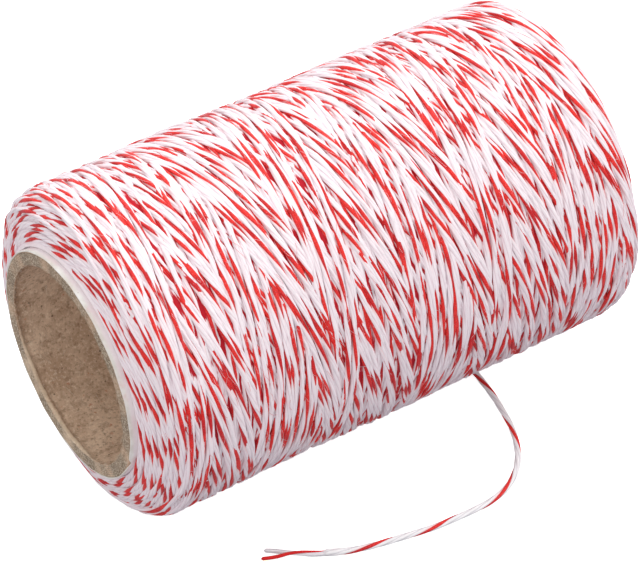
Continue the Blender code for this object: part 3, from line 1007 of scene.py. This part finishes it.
# %% Make the paper wrap
def paper_finish():
    """White liner paper, a little warm, with faint marks."""
    material, tree, shader = new_finish("white_liner_paper", roughness=0.7)
    place = add_node(tree, "ShaderNodeTexCoord").outputs["Object"]
    cloud = noise(tree, place, 260.0, detail=4.0)
    grain = noise(tree, place, 1500.0, detail=3.0)
    smudge = noise(tree, vector_sum(tree, "ADD", place, (0.5, 0.2, 0.1)), 170.0, detail=4.0, roughness=0.65)
    speck = add_node(tree, "ShaderNodeTexVoronoi", {"Vector": place, "Scale": 380.0}).outputs[0]
    colour = blend_colours(tree, remap(tree, cloud, 0.35, 0.7), (0.72, 0.69, 0.62), (0.88, 0.865, 0.825))
    colour = blend_colours(tree, remap(tree, smudge, 0.54, 0.70, 0.0, 0.55), colour, (0.78, 0.56, 0.53))
    colour = blend_colours(tree, remap(tree, speck, 0.085, 0.045, 0.0, 0.5), colour, (0.40, 0.34, 0.30))
    along = add_node(tree, "ShaderNodeSeparateXYZ", {0: place}).outputs[0]
    # Away from the tube's ends, towards the winding, the paper turns a greyish pink.
    ragged = sum_of(tree, "MULTIPLY_ADD", cloud, 0.0016, sum_of(tree, "ABSOLUTE", along))
    pinker_towards_winding = remap(tree, ragged, (TUBE_HALF + 0.4) * MM, (TUBE_HALF - 0.7) * MM, 0.0, 0.8)
    colour = blend_colours(tree, pinker_towards_winding, colour, (0.86, 0.76, 0.79))
    tree.links.new(colour, shader.inputs["Base Color"])
    bump = add_node(tree, "ShaderNodeBump", {"Strength": 0.5, "Distance": 0.0002, "Height": grain})
    tree.links.new(bump.outputs[0], shader.inputs["Normal"])
    return material


WRAP_INSIDE, WRAP_OUTSIDE = 28.19, 28.5
TORN_AT = math.radians(110)
wrap_turn = np.arange(TUBE_SIDES) * 2 * math.pi / TUBE_SIDES
torn = 0.9 * np.exp(-(((wrap_turn - TORN_AT) / 0.06) ** 2)) + 0.06 * np.sin(17 * wrap_turn)
wrap_rings = [around(WRAP_OUTSIDE, x, TUBE_SIDES) for x in (-60.0, 0.0, 60.0)]
wrap_rings += [
    around(radius, TUBE_HALF + inset, TUBE_SIDES)
    for radius, inset in ((28.5, -0.2), (28.43, -0.08), (28.27, -0.08), (28.19, -0.16))
]
wrap_rings += [around(WRAP_INSIDE, x, TUBE_SIDES) for x in (60.0, -60.0)]
wrap_rings += [
    around(radius, torn - TUBE_HALF + inset, TUBE_SIDES)
    for radius, inset in ((28.19, 0.16), (28.27, 0.08), (28.43, 0.08), (28.5, 0.2))
]
paper_wrap = closed_sleeve("white_paper_wrap", wrap_rings, paper_finish())

# %% [markdown]
# ## Ride and replace
# Every piece rides on the one body of the roll. The wound twine stands for the solid winding, and the
# loose end and its plies stand for the solid ones.

# %% Ride and replace
wound = [*wound_pieces, bed, pale_fibres, red_fibres]
core = [board_tube, board_fibres, paper_wrap]
for piece in [*wound, *core, loose_end, red_ply, white_plies]:
    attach(piece, "root")
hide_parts("winding")
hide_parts("core_tube")
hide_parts("core_wrap")
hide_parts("loose_end")
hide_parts("loose_ply_red")
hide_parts("loose_plies_white")

# %% [markdown]
# ## Floor and light
# A plain white floor and soft white light from all round, with a large soft light above, as in a shop
# picture. The floor gives off a little light of its own, so that its shadows stay faint.


# %% Set the stage
FLOOR_BOUNCE = (0.40, 0.39, 0.43)
FLOOR_GLOW = 0.8


def stage_floor():
    """A white floor with faint shadows."""
    mesh = bpy.data.meshes.new("floor")
    reach = 3.0
    mesh.from_pydata([(-reach, -reach, 0), (reach, -reach, 0), (reach, reach, 0), (-reach, reach, 0)], [], [(0, 1, 2, 3)])
    material, tree, shader = new_finish("white_floor", roughness=0.9)
    place = add_node(tree, "ShaderNodeTexCoord").outputs["Object"]
    pale = blend_colours(tree, noise(tree, place, 3.0), (0.94, 0.94, 0.94), (0.96, 0.96, 0.96))
    seen = add_node(tree, "ShaderNodeLightPath").outputs["Is Camera Ray"]
    colour = blend_colours(tree, seen, FLOOR_BOUNCE, pale)
    tree.links.new(colour, shader.inputs["Base Color"])
    shader.inputs["Emission Color"].default_value = (1.0, 1.0, 1.0, 1.0)
    glow = sum_of(tree, "MULTIPLY", seen, FLOOR_GLOW)
    tree.links.new(glow, shader.inputs["Emission Strength"])
    mesh.materials.append(material)
    floor = bpy.data.objects.new("floor", mesh)
    bpy.context.scene.collection.objects.link(floor)


def soft_light(name, place, target, width, power):
    """A large soft light that looks at a target."""
    data = bpy.data.lights.new(name, "AREA")
    data.shape = "DISK"
    data.size = width
    data.energy = power
    light = bpy.data.objects.new(name, data)
    light.location = place
    light.rotation_euler = (Vector(target) - Vector(place)).to_track_quat("-Z", "Y").to_euler()
    bpy.context.scene.collection.objects.link(light)


stage_floor()
soft_light("light_above", (0.05, 0.1, 1.15), (0, 0, 0.04), 1.0, 3.8)
soft_light("light_behind", (0.45, 0.78, 0.9), (0, 0, 0.04), 0.9, 8.4)
soft_light("light_left", (-1.0, -0.4, 0.5), (0, 0, 0.04), 0.7, 2.9)
soft_light("light_right", (0.8, -0.5, 0.6), (0, 0, 0.04), 0.7, 4.2)
world = bpy.data.worlds.new("white_room")
world.use_nodes = True
world.node_tree.nodes["Background"].inputs["Color"].default_value = (1.0, 1.0, 1.0, 1.0)
world.node_tree.nodes["Background"].inputs["Strength"].default_value = 0.62
bpy.context.scene.world = world
bpy.context.scene.view_settings.view_transform = "Standard"
